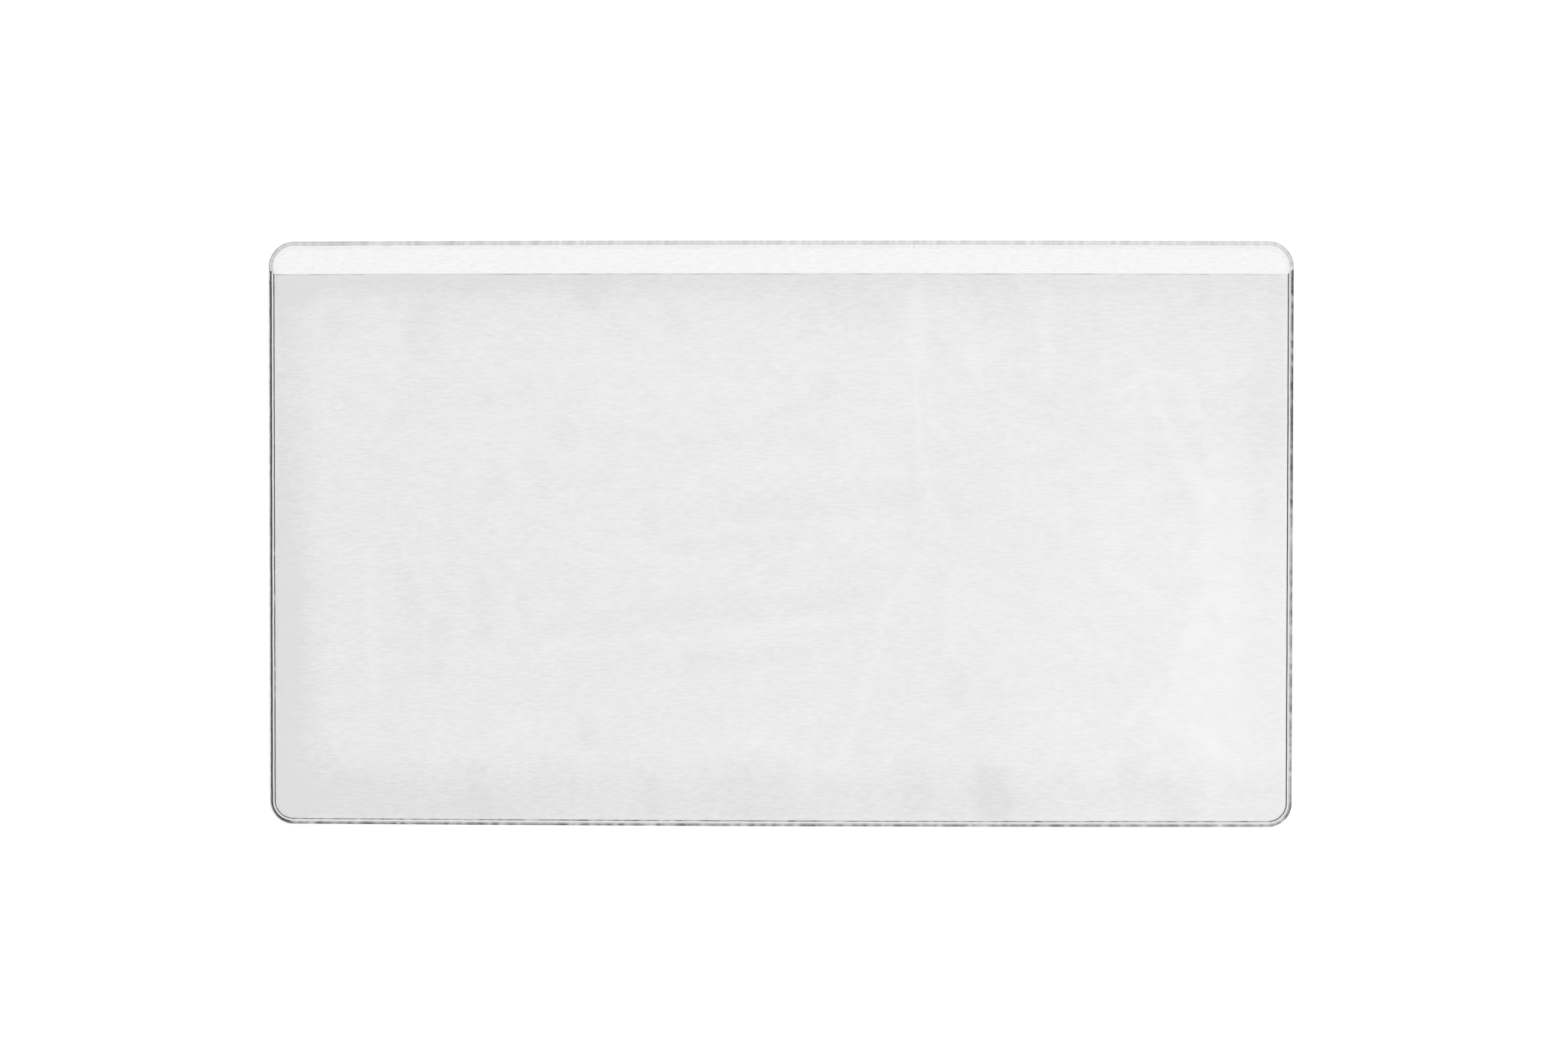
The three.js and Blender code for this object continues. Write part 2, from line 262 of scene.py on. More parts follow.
# Its faces: the share of light mirrored straight on, tone, roughness, and what is left of light that passes
STRAIGHT_GLOSS = 0.034
FACE_TONE, FACE_ROUGHNESS = 0.93, 0.12
PASSED_LIGHT = 0.998

# Adhesive: its two tones, roughness, what passes through its pores, and how closed its grain makes it
GLUE_DARK, GLUE_LIGHT = 0.955, 0.975
GLUE_ROUGHNESS = 0.45
GLUE_THROUGH = 0.98
GLUE_CLOSED = (0.90, 0.92)

# Backing paper: its two tones, roughness range and relief
PAPER_DARK, PAPER_LIGHT = (0.83, 0.83, 0.824), (0.87, 0.87, 0.865)
PAPER_ROUGHNESS = (0.48, 0.62)
PAPER_RELIEF, PAPER_RELIEF_HEIGHT = 0.15, 0.01 * MM

# Floor: a hair below the object, and far wider than any view. Its glow makes up for the lamps far away.
FLOOR_LEVEL = -0.01 * MM
FLOOR_REACH = 6.0
FLOOR_TONE = 0.93
GLOW_NEAR, GLOW_FAR = 0.14, 0.235
GLOW_START, GLOW_END = 0.5, 2.5
STUDIO_LIGHT = 0.83

# Camera, fitted to the outline in the photograph
LENS = 85
SENSOR = 36
NEAREST, FARTHEST = 0.01, 10
CAMERA_PLACE = (9.56 * MM, 10.27 * MM, 379.94 * MM)
CAMERA_TURN = (-1.387, 1.372, 0.048)


def smooth(t):
    """A soft step from 0 at 0 to 1 at 1."""
    t = np.clip(t, 0, 1)
    return t * t * (3 - 2 * t)


def wobble(s, cells, lane_y, lane_z, octaves):
    """Smooth noise from -1 to 1 at a distance along the outline in millimetres."""
    return noise.fractal(Vector((s * cells, lane_y, lane_z)), 1.0, 2.0, octaves)


def grey(tone):
    return (tone, tone, tone)


# Materials

def new_material(name):
    material = bpy.data.materials.new(name)
    material.use_nodes = True
    tree = material.node_tree
    tree.nodes.clear()
    output = tree.nodes.new("ShaderNodeOutputMaterial")
    return material, tree, output


def node(tree, kind, **inputs):
    """A node with constants on its sockets, which are named with _ for a space."""
    made = tree.nodes.new(kind)
    for key, value in inputs.items():
        made.inputs[key.replace("_", " ")].default_value = value
    return made


def math_node(tree, operation, a, b=0.0, clamp=False):
    """One sum of two sockets or numbers."""
    made = tree.nodes.new("ShaderNodeMath")
    made.operation = operation
    made.use_clamp = clamp
    for socket, value in zip(made.inputs, (a, b)):
        if isinstance(value, bpy.types.NodeSocket):
            tree.links.new(value, socket)
        else:
            socket.default_value = value
    return made.outputs[0]


def ramp(tree, value, low, high, to_low=0.0, to_high=1.0):
    """A soft step between two levels of a socket's value."""
    made = tree.nodes.new("ShaderNodeMapRange")
    made.interpolation_type = "SMOOTHSTEP"
    tree.links.new(value, made.inputs["Value"])
    for key, number in zip(("From Min", "From Max", "To Min", "To Max"), (low, high, to_low, to_high)):
        made.inputs[key].default_value = number
    return made.outputs["Result"]


def object_place(tree):
    """The place in the object's own coordinates."""
    return tree.nodes.new("ShaderNodeTexCoord").outputs["Object"]


def grain(tree, scale, stretch, detail):
    """Noise in the object's own coordinates, drawn out along X."""
    mapping = node(tree, "ShaderNodeMapping", Scale=(scale / stretch, scale, scale))
    tree.links.new(object_place(tree), mapping.inputs["Vector"])
    texture = node(tree, "ShaderNodeTexNoise", Scale=1.0, Detail=detail, Roughness=0.6)
    tree.links.new(mapping.outputs["Vector"], texture.inputs["Vector"])
    return texture.outputs["Fac"]


def colour_mix(tree, share, low, high):
    """A colour between a plain colour or a socket's colour at 0 and a plain colour at 1."""
    made = tree.nodes.new("ShaderNodeMix")
    made.data_type = "RGBA"
    if isinstance(low, bpy.types.NodeSocket):
        tree.links.new(low, made.inputs["A"])
    else:
        made.inputs["A"].default_value = (*low, 1)
    made.inputs["B"].default_value = (*high, 1)
    tree.links.new(share, made.inputs["Factor"])
    return made.outputs["Result"]


def read_attribute(tree, name):
    """A number that the mesh carries at each point."""
    made = tree.nodes.new("ShaderNodeAttribute")
    made.attribute_name = name
    return made.outputs["Fac"]


def shader_mix(tree, share, first, second):
    """The first shader at 0 and the second at 1."""
    made = tree.nodes.new("ShaderNodeMixShader")
    tree.links.new(share, made.inputs[0])
    tree.links.new(first, made.inputs[1])
    tree.links.new(second, made.inputs[2])
    return made.outputs[0]


def see_through(tree, tone):
    return node(tree, "ShaderNodeBsdfTransparent", Color=(*grey(tone), 1)).outputs[0]


def plain_share(tree):
    """The weld's tint: noise alone."""
    return grain(tree, *FILM_GRAIN)


def cling_and_painted_light_share(tree):
    """The front film's tint: how it lies, with its painted light and highlight, and fine dashes that show
    more where it lies loose.
    """
    contact = read_attribute(tree, "contact")
    dashes = ramp(tree, grain(tree, *FILM_GRAIN), *MID_NOISE, -DASHES, DASHES)
    loose = math_node(tree, "SUBTRACT", DASH_LOOSENESS, contact)
    return math_node(tree, "ADD", contact, math_node(tree, "MULTIPLY", dashes, loose), clamp=True)


def lip_share(tree):
    """The back film's tint: even behind the front film, with fine dashes on the bare lip."""
    parts = tree.nodes.new("ShaderNodeSeparateXYZ")
    tree.links.new(object_place(tree), parts.inputs[0])
    bare = ramp(tree, parts.outputs["Y"], MOUTH, MOUTH + LIP_EDGE)
    dashes = ramp(tree, grain(tree, *FILM_GRAIN), *MID_NOISE, -0.5, 0.5)
    return math_node(tree, "ADD", math_node(tree, "MULTIPLY", dashes, bare), 0.5)


def gloss_share(tree):
    """How much a clear face mirrors, from straight on to edge on, alike from both sides."""
    facing = node(tree, "ShaderNodeLayerWeight", Blend=0.5).outputs["Facing"]
    edge_on = math_node(tree, "MULTIPLY", math_node(tree, "POWER", facing, 5.0), 1 - STRAIGHT_GLOSS)
    return math_node(tree, "ADD", edge_on, STRAIGHT_GLOSS)


def clear_plastic(name, share_of, dark, light, shade_tone, haze):
    """Clear film: what lies behind it with a faint tint, a little haze and a glossy face.

    The mesh's own line number is painted shade where beads, ridges and cut edges refract: it darkens the film
    there. Its join number takes the gloss from an end face where the film really goes on. Light and shadow
    pass through it plainly."""
    material, tree, output = new_material(name)
    tint = colour_mix(tree, share_of(tree), grey(dark), grey(light))
    # painted shade: the line number pulls the tint towards the shade tone
    shade_tinted = colour_mix(tree, read_attribute(tree, "line"), tint, grey(shade_tone))
    through = tree.nodes.new("ShaderNodeBsdfTransparent")
    tree.links.new(shade_tinted, through.inputs["Color"])
    face = node(tree, "ShaderNodeBsdfPrincipled", Base_Color=(*grey(FACE_TONE), 1), Roughness=FACE_ROUGHNESS)
    solid = math_node(tree, "SUBTRACT", 1.0, read_attribute(tree, "join"))
    glossy = math_node(tree, "ADD", gloss_share(tree), haze, clamp=True)
    weight = math_node(tree, "MULTIPLY", glossy, solid)
    seen = shader_mix(tree, weight, through.outputs[0], face.outputs[0])
    path = tree.nodes.new("ShaderNodeLightPath")
    light_ray = math_node(tree, "MAXIMUM", path.outputs["Is Shadow Ray"], path.outputs["Is Diffuse Ray"])
    both = shader_mix(tree, light_ray, seen, see_through(tree, PASSED_LIGHT))
    tree.links.new(both, output.inputs["Surface"])
    return material


def glue_layer(name):
    """Milky adhesive: almost closed, with a fine coater's grain."""
    material, tree, output = new_material(name)
    fine = grain(tree, *GLUE_GRAIN)
    colour = colour_mix(tree, ramp(tree, fine, *MID_NOISE), grey(GLUE_DARK), grey(GLUE_LIGHT))
    face = node(tree, "ShaderNodeBsdfPrincipled", Roughness=GLUE_ROUGHNESS)
    tree.links.new(colour, face.inputs["Base Color"])
    closed = ramp(tree, fine, *WIDE_NOISE, *GLUE_CLOSED)
    mixed = shader_mix(tree, closed, see_through(tree, GLUE_THROUGH), face.outputs[0])
    tree.links.new(mixed, output.inputs["Surface"])
    return material


def paper(name):
    """Coated white backing paper with faint fibres."""
    material, tree, output = new_material(name)
    fibre = grain(tree, *FIBRE_GRAIN)
    cloud = grain(tree, *CLOUD_GRAIN)
    halves = [math_node(tree, "MULTIPLY", part, 0.5) for part in (fibre, cloud)]
    mottle = ramp(tree, math_node(tree, "ADD", *halves), *MID_NOISE)
    face = tree.nodes.new("ShaderNodeBsdfPrincipled")
    tree.links.new(colour_mix(tree, mottle, PAPER_DARK, PAPER_LIGHT), face.inputs["Base Color"])
    tree.links.new(ramp(tree, fibre, *MID_NOISE, *PAPER_ROUGHNESS), face.inputs["Roughness"])
    raised = node(tree, "ShaderNodeBump", Strength=PAPER_RELIEF, Distance=PAPER_RELIEF_HEIGHT)
    tree.links.new(fibre, raised.inputs["Height"])
    tree.links.new(raised.outputs["Normal"], face.inputs["Normal"])
    tree.links.new(face.outputs[0], output.inputs["Surface"])
    return material


# Meshes

def mesh_object(name, points, faces, material, flat=(), **numbers):
    """A mesh with smooth faces but for the flat ones, and named numbers at its points."""
    mesh = bpy.data.meshes.new(name)
    mesh.from_pydata([tuple(p) for p in points], [], faces)
    mesh.update()
    made = bpy.data.objects.new(name, mesh)
    bpy.context.scene.collection.objects.link(made)
    mesh.materials.append(material)
    mesh.polygons.foreach_set("use_smooth", [True] * len(mesh.polygons))
    for index in flat:
        mesh.polygons[index].use_smooth = False
    mesh.set_sharp_from_angle(angle=SHARP_ANGLE)
    for key, values in numbers.items():
        layer = mesh.attributes.new(key, "FLOAT", "POINT")
        layer.data.foreach_set("value", np.array(values, np.float32))
    return made


def corner_run(centre_x, centre_y, radius, start, step):
    """Places and outward directions round a quarter circle, counterclockwise."""
    count = max(8, int(math.ceil(radius * math.pi / 2 / step)))
    angles = start + np.linspace(0, math.pi / 2, count + 1)
    out = np.stack([np.cos(angles), np.sin(angles)], 1)
    return np.array([centre_x, centre_y]) + radius * out, out


def straight_run(start, end, out, step):
    """Places between two points, without the points themselves."""
    start, end = np.array(start), np.array(end)
    count = max(1, int(math.ceil(np.linalg.norm(end - start) / step)))
    shares = np.linspace(0, 1, count + 1)[1:-1, None]
    places = start + (end - start) * shares
    return places, np.tile(out, (len(places), 1))


def bowed(points):
    """The same points with the long edges bowed a little: out in the middle and in at the ends."""
    moved = points.copy()
    middle = 1 / 3 - (points[:, 0] / HALF_WIDTH) ** 2
    moved[:, 1] += EDGE_BOW * (points[:, 1] / HALF_HEIGHT) ** 3 * middle
    return moved


def outline(step, corner_step):
    """The pocket's outline as places and outward directions, counterclockwise from bottom right."""
    w, h, rt, rb = HALF_WIDTH, HALF_HEIGHT, TOP_RADIUS, BOTTOM_RADIUS
    runs = [
        corner_run(w - rb, rb - h, rb, -math.pi / 2, corner_step),
        straight_run((w, rb - h), (w, h - rt), (1.0, 0.0), step),
        corner_run(w - rt, h - rt, rt, 0, corner_step),
        straight_run((w - rt, h), (rt - w, h), (0.0, 1.0), step),
        corner_run(rt - w, h - rt, rt, math.pi / 2, corner_step),
        straight_run((-w, h - rt), (-w, rb - h), (-1.0, 0.0), step),
        corner_run(rb - w, rb - h, rb, math.pi, corner_step),
        straight_run((rb - w, -h), (w - rb, -h), (0.0, -1.0), step),
    ]
    return bowed(np.concatenate([r[0] for r in runs])), np.concatenate([r[1] for r in runs])


def ring_faces(rings, count, rings_close, points_close):
    """Quads between neighbouring rings of points."""
    faces = []
    for i in range(rings if rings_close else rings - 1):
        for j in range(count if points_close else count - 1):
            a, b = i * count + j, i * count + (j + 1) % count
            c, d = ((i + 1) % rings) * count + j, ((i + 1) % rings) * count + (j + 1) % count
            faces.append((a, c, d, b))
    return faces


def ringed_object(name, rings, lines, faces, material):
    """A mesh from rings of points and their painted shade numbers. Its last two faces are flat ends."""
    points = [point for ring in rings for point in ring]
    numbers = [number for line in lines for number in line]
    return mesh_object(name, points, faces, material, flat=(len(faces) - 1, len(faces) - 2), line=numbers)


def spline(points, count):
    """A smooth curve through the points, sampled evenly in its own parameter."""
    p = np.array(points, float)
    padded = np.concatenate([[2 * p[0] - p[1]], p, [2 * p[-1] - p[-2]]])
    t = np.linspace(0, len(p) - 1, count)
    i = np.minimum(t.astype(int), len(p) - 2)
    f = (t - i)[:, None]
    a, b, c, d = padded[i], padded[i + 1], padded[i + 2], padded[i + 3]
    first, second, third = c - a, 2 * a - 5 * b + 4 * c - d, 3 * b - a - 3 * c + d
    return 0.5 * (2 * b + first * f + second * f ** 2 + third * f ** 3)


def along(places):
    """Distance along a row of places."""
    steps = np.linalg.norm(np.diff(places, axis=0), axis=1)
    return np.concatenate([[0], np.cumsum(steps)])


def weld_height(inset):
    """How high the weld's diagonal end lies, at an inset from the outline."""
    return MOUTH - WELD_END_DROP + (WELD_END_RISE + WELD_END_DROP) * (1 - inset / WELD_WIDTH)


def bead_rise(t):
    """The bead's height over its width, both from 0 to 1."""
    return math.sin(math.pi * t ** BEAD_LEAN) ** BEAD_FLARE


def bead_shade(place, direction, inset):
    """How dark the painted shade on the lip's bead is at an inset from the outline, where its slope refracts.
    It is clear where the weld takes over.
    """
    upright = abs(direction[0])
    levels = upright * LIP_SHADE_SIDE + (1 - upright) * LIP_SHADE_TOP
    above = smooth((place[1] - weld_height(inset) + 2 * WELD_END_STEP) / (2 * WELD_END_STEP))
    return above * np.interp(inset / MM, LIP_SHADE_PLACES, levels)


def back_film(material):
    """The back film, with the uneven bead of the hot cut along the lip."""
    places, out = outline(*OUTLINE_STEPS)
    run = along(places) / MM
    start = MOUTH + WELD_END_RISE + BEAD_END_CLEARANCE
    share = smooth((places[:, 1] - start) / LIP_BEAD_TAPER)
    rings, lines = [], []
    for place, direction, s, amount in zip(places, out, run, share):
        dip = BEAD_HEIGHT_SPREAD * (0.5 + 0.5 * wobble(s, *BEAD_HEIGHT_NOISE))
        height = LIP_BEAD_HEIGHT * amount * (1 - dip)
        width = LIP_BEAD_WIDTH * (1 + BEAD_WIDTH_SPREAD * wobble(s, *BEAD_WIDTH_NOISE))
        # painted shade on the bead: darker to the left, uneven along the outline
        bead_shade_strength = BEAD_SHADE_LEVEL - BEAD_SHADE_SLOPE * place[0] / HALF_WIDTH
        bead_shade_strength += BEAD_SHADE_SPREAD * wobble(s, *BEAD_SHADE_NOISE)
        loop = place - BEAD_LOOP * LIP_BEAD_WIDTH * direction
        ring, line = [(*loop, BACK_LEVEL), (*place, BACK_LEVEL)], [0, 0]
        for i in range(BEAD_STEPS + 1):
            t = i / BEAD_STEPS
            ring.append((*(place - width * t * direction), BACK_FRONT + height * bead_rise(t)))
            line.append(bead_shade_strength * bead_shade(place, direction, width * t))
        rings.append(ring + [(*loop, BACK_FRONT)])
        lines.append(line + [0])
    count = len(rings[0])
    faces = ring_faces(len(rings), count, True, False)
    faces.append([i * count for i in range(len(rings))][::-1])
    faces.append([i * count + count - 1 for i in range(len(rings))])
    return ringed_object("back_film_sheet", rings, lines, faces, material)


def weld_shade_weights(direction):
    """How dark the painted shade of each line of the weld is, by the way that its side faces."""
    left, right, low = max(-direction[0], 0), max(direction[0], 0), max(-direction[1], 0)
    total = left + right + low
    return (left * WELD_SHADE_LEFT + right * WELD_SHADE_RIGHT + low * WELD_SHADE_BOTTOM) / total


def weld_shade_depth(place):
    """How dark the weld's painted shade lines are along it: darker to the left, and high on the right side.
    """
    x, y = place[0] / HALF_WIDTH, place[1] / MM
    return 1 - WELD_SHADE_SLOPE * x + WELD_SHADE_HIGH_RIGHT * smooth(y / HIGH_RIGHT_REACH) * smooth(x)


def nick_shade(place, direction):
    """Extra painted shade on the inner line where the hot tool left a nick."""
    x, y = (place - WELD_WIDTH * direction) / MM
    away = [math.hypot(x - nick_x, y - nick_y) / NICK_SIZE for nick_x, nick_y in NICKS]
    return sum(NICK_SHADE * smooth(NICK_EDGE - distance) for distance in away)


def weld_shades(place, direction, s, insets):
    """How dark the painted shade on the weld is at each inset of its profile, where its slopes refract."""
    outer = 1 + OUTER_SHADE_SPREAD * wobble(s, *OUTER_SHADE_NOISE)
    inner = 1 + INNER_SHADE_SPREAD * wobble(s, *INNER_SHADE_NOISE) + nick_shade(place, direction)
    strength = np.where(WELD_SHADE_PLACES < OUTER_SHADE_END, outer, inner) * weld_shade_depth(place)
    return np.interp(insets / MM, WELD_SHADE_PLACES, weld_shade_weights(direction) * strength)


def weld_end(side, insets, levels, base):
    """The weld's last ring of points, along its diagonal end."""
    points = [(side * HALF_WIDTH, weld_height(0), base)]
    for inset, level in zip(insets, levels):
        points.append((side * (HALF_WIDTH - inset), weld_height(inset), BACK_FRONT + level))
    return points + [(side * (HALF_WIDTH - WELD_WIDTH), weld_height(WELD_WIDTH), base)]


def weld_seam(material):
    """The weld, with the unevenness that a hot tool leaves along the bead and the ridge."""
    places, out = outline(*OUTLINE_STEPS)
    top = np.argmax(places[:, 1])
    places, out = np.roll(places, -top, 0), np.roll(out, -top, 0)
    kept = places[:, 1] < MOUTH - WELD_END_DROP - WELD_END_STEP
    places, out = places[kept], out[kept]
    insets, levels = (spline(WELD_PROFILE, WELD_POINTS) * MM).T
    mid = np.sin(np.pi * np.clip(insets / WELD_WIDTH, 0, 1))
    base = BACK_FRONT + SKIN
    rings, lines = [], []
    for place, direction, s in zip(places, out, along(places) / MM):
        sway = WELD_SWAY * wobble(s, *WELD_SWAY_NOISE)
        lift = 1 - WELD_LIFT_SPREAD * (1 + wobble(s, *WELD_LIFT_NOISE)) * mid
        xy = place[None, :] - (insets + sway * mid)[:, None] * direction[None, :]
        ring = [(*place, base)] + [(*p, h) for p, h in zip(xy, BACK_FRONT + levels * lift)]
        rings.append(ring + [(*(place - WELD_WIDTH * direction), base)])
        # painted shade along the weld's refracting slopes, one number per point
        lines.append([0, *weld_shades(place, direction, s, insets), 0])
    rings = [weld_end(-1, insets, levels, base)] + rings + [weld_end(1, insets, levels, base)]
    lines = [lines[0]] + lines + [lines[-1]]
    count = len(rings[0])
    faces = ring_faces(len(rings), count, False, True)
    faces.append(list(range(count)))
    faces.append([(len(rings) - 1) * count + j for j in range(count)][::-1])
    return ringed_object("weld_rim", rings, lines, faces, material)


def glue_sheet(material):
    """The adhesive coat, a hair thinner than its solid so that no two faces lie in one plane."""
    places, out = outline(*GLUE_OUTLINE_STEPS)
    low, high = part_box("adhesive_coat")
    edge = places - (HALF_WIDTH - high.x) * out
    count = len(edge)
    points = [(*p, low.z + SKIN) for p in edge] + [(*p, high.z - SKIN) for p in edge]
    faces = [(j, (j + 1) % count, count + (j + 1) % count, count + j) for j in range(count)]
    faces += [list(range(count))[::-1], [count + j for j in range(count)]]
    return mesh_object("adhesive_layer", points, faces, material, flat=(count, count + 1))


# The front film's contact, over arrays of places in millimetres from the pocket's centre

def field(x, y, across, up, seed, octaves):
    """Smooth noise from -1 to 1."""
    x, y = x * across, y * up
    total, size = 0.0, FIELD_SIZE
    for octave in range(octaves):
        grid = np.random.default_rng(seed * 16 + octave).uniform(-1, 1, (FIELD_CELLS, FIELD_CELLS))
        u, v = x * 2 ** octave + FIELD_SHIFT, y * 2 ** octave + FIELD_SHIFT
        i, j = np.floor(u).astype(int), np.floor(v).astype(int)
        f, g = smooth(u - i), smooth(v - j)
        here_i, next_i = i % FIELD_CELLS, (i + 1) % FIELD_CELLS
        here_j, next_j = j % FIELD_CELLS, (j + 1) % FIELD_CELLS
        lower = grid[here_i, here_j] * (1 - f) + grid[next_i, here_j] * f
        upper = grid[here_i, next_j] * (1 - f) + grid[next_i, next_j] * f
        total = total + size * (lower * (1 - g) + upper * g)
        size *= FIELD_DECAY
    return total


def rise(value, start, reach):
    """0 up to the start and 1 from the reach beyond it."""
    return smooth((value - start) / reach)


def film_place(across, down):
    """Where a pixel of the photograph lies on the film, to a tenth of a millimetre from its centre."""
    return round((across - CENTRE_ACROSS) / PIXELS_PER_MM, 1), round((CENTRE_DOWN - down) / PIXELS_PER_MM, 1)


def stroke_marks(x, y, strokes):
    """How strongly the strokes mark each place. Their edges are ragged."""
    u = x + STROKE_RAGGED * field(x, y, *RAGGED_ACROSS_FIELD)
    v = y + STROKE_RAGGED * field(x, y, *RAGGED_UP_FIELD)
    total = np.zeros_like(x)
    for first_across, first_down, last_across, last_down, half_pixels, strength in strokes:
        x1, y1 = film_place(first_across, first_down)
        x2, y2 = film_place(last_across, last_down)
        half = round(half_pixels / PIXELS_PER_MM, 2)
        run_x, run_y = x2 - x1, y2 - y1
        length = run_x ** 2 + run_y ** 2
        t = np.clip(((u - x1) * run_x + (v - y1) * run_y) / length, 0, 1)
        away = np.hypot(u - x1 - t * run_x, v - y1 - t * run_y) / half
        total = np.maximum(total, strength * smooth((STROKE_END - away) / STROKE_SOFTNESS))
    return total


def edge_air(x, y, cloud):
    """How much the air along the left weld, under the mouth and along the bottom lifts the film."""
    across = x / (HALF_WIDTH / MM)
    from_left = x + HALF_WIDTH / MM
    from_mouth = MOUTH / MM - y
    from_bottom = y + HALF_HEIGHT / MM
    swell = LEFT_SWELL_LEVEL - LEFT_SWELL * np.sin((y - LEFT_SWELL_PLACE) * LEFT_SWELL_PACE)
    left = LEFT_AIR * (1 - rise(from_left, LEFT_AIR_START * (1 + cloud), LEFT_AIR_REACH)) * swell
    left += LEFT_FADE * np.exp(-from_left / LEFT_FADE_REACH)
    edge = MOUTH_AIR_START + MOUTH_AIR_DRIP * field(x, y, *DRIP_FIELD)
    top = MOUTH_AIR * (1 - MOUTH_AIR_SLOPE * across) * (1 - rise(from_mouth, edge, MOUTH_AIR_REACH))
    top += MOUTH_FADE * (1 - MOUTH_FADE_SLOPE * across) * (1 - rise(from_mouth, 0, MOUTH_FADE_REACH))
    edge = BOTTOM_AIR_START + BOTTOM_AIR_DRIP * field(x, y, *BOTTOM_FIELD)
    bottom = BOTTOM_AIR * (1 - BOTTOM_AIR_SLOPE * across) * (1 - rise(from_bottom, edge, BOTTOM_AIR_REACH))
    return left + top + bottom


def clinging_patch(x, y, cloud):
    """The lighter patch at the right, from 0 to 1: a curved left side, and soft at its other edges."""
    side = PATCH_SIDE - PATCH_CURVE * np.minimum(y - PATCH_TURN, 0) ** 2
    side = side + PATCH_RAGGED * field(y, x, *COAST_FIELD)
    below_top = smooth((PATCH_TOP - y + PATCH_TOP_CLOUD * cloud) / PATCH_TOP_REACH)
    near = 1 - PATCH_FAR_SHARE * rise(x, PATCH_FAR_SIDE, PATCH_FAR_REACH)
    foot_x, foot_y = PATCH_FOOT
    above_foot = smooth((y - foot_y + PATCH_FOOT_SLOPE * (x - foot_x)) / PATCH_FOOT_REACH)
    return rise(x, side, PATCH_SOFTNESS) * below_top * near * above_foot


def contact_share(x, y):
    """How closely the front film lies on the back film, from 0 to 1, with painted light lighter to the right
    and a painted highlight inside the weld.
    """
    half, low, high = HALF_WIDTH / MM, -HALF_HEIGHT / MM, MOUTH / MM
    cloud = field(x, y, *CLOUD_FIELD)
    share = BASE_CONTACT + CLOUD_CONTACT * cloud + FINE_CONTACT * field(x, y, *FINE_FIELD)
    # painted light: lighter to the right, darker to the left, more so low down
    share += PAINTED_SIDE_LIGHT * x / half * (1 - y / high)
    share -= edge_air(x, y, cloud)
    share += RIGHT_CONTACT * rise(x, *RIGHT_CONTACT_ACROSS) * rise(-y, *RIGHT_CONTACT_DOWN)
    share -= RIGHT_AIR * rise(x, *RIGHT_AIR_ACROSS) * rise(y, *RIGHT_AIR_UP)
    share += PATCH_CONTACT * clinging_patch(x, y, cloud)
    # painted highlight just inside the side and bottom weld
    from_weld = np.minimum(half - np.abs(x), y - low) - WELD_WIDTH / MM
    share += PAINTED_WELD_HIGHLIGHT * (1 - smooth(from_weld / PAINTED_WELD_HIGHLIGHT_REACH))
    share -= AIR_STRENGTH * stroke_marks(x, y, AIR_STROKES)
    return share + CLING_STRENGTH * stroke_marks(x, y, CLING_STROKES)


def half_grid(side):
    """The places of half of the front film, in rows from the bottom up, each from the weld to the middle.

    They come with how free each is to wave, from 0 at the weld to 1."""
    inset = WELD_WIDTH - SKIN
    right, low = HALF_WIDTH - inset, inset - HALF_HEIGHT
    radius = BOTTOM_RADIUS - inset
    corner = radius * (1 - np.cos(np.linspace(0, math.pi / 2, FILM_CORNER_POINTS)))
    body = np.linspace(low + radius, MOUTH - MOUTH_STEPS[0] * MM, FILM_ROWS)[1:-1]
    y = np.concatenate([low + corner, body, MOUTH - MOUTH_STEPS * MM])
    round_part = right - radius + np.sqrt(np.maximum(radius ** 2 - (low + radius - y) ** 2, 0))
    reach = np.where(y < low + radius, round_part, right)[:, None]
    shares = 1 - (1 - np.linspace(0, 1, FILM_COLUMNS + 1)) ** COLUMN_SPREAD
    x = side * (reach * (1 - shares) + 0.5 * SKIN * shares)
    y = np.repeat(y[:, None], FILM_COLUMNS + 1, 1)
    calm = smooth((reach - np.abs(x)) / CALM_REACH) * smooth((y - low) / CALM_REACH)
    return x, y, calm


def half_faces(side, rows, count):
    """Quads over the top and bottom grids, their rims, and the end face at the middle line.

    The end face has points of its own, after those of both grids."""
    total = rows * count
    ends, last = 2 * total, (rows - 1) * count
    faces = []

    def quad(a, b, c, d):
        faces.append((a, b, c, d) if side < 0 else (a, d, c, b))

    for i in range(rows - 1):
        for j in range(count - 1):
            a, b = i * count + j, i * count + j + 1
            c, d = a + count, b + count
            quad(a, b, d, c)
            quad(total + a, total + c, total + d, total + b)
        quad(i * count, (i + 1) * count, total + (i + 1) * count, total + i * count)
        quad(ends + i, ends + rows + i, ends + rows + i + 1, ends + i + 1)
    for j in range(count - 1):
        quad(j, total + j, total + j + 1, j + 1)
        quad(last + j, last + j + 1, total + last + j + 1, total + last + j)
    return faces


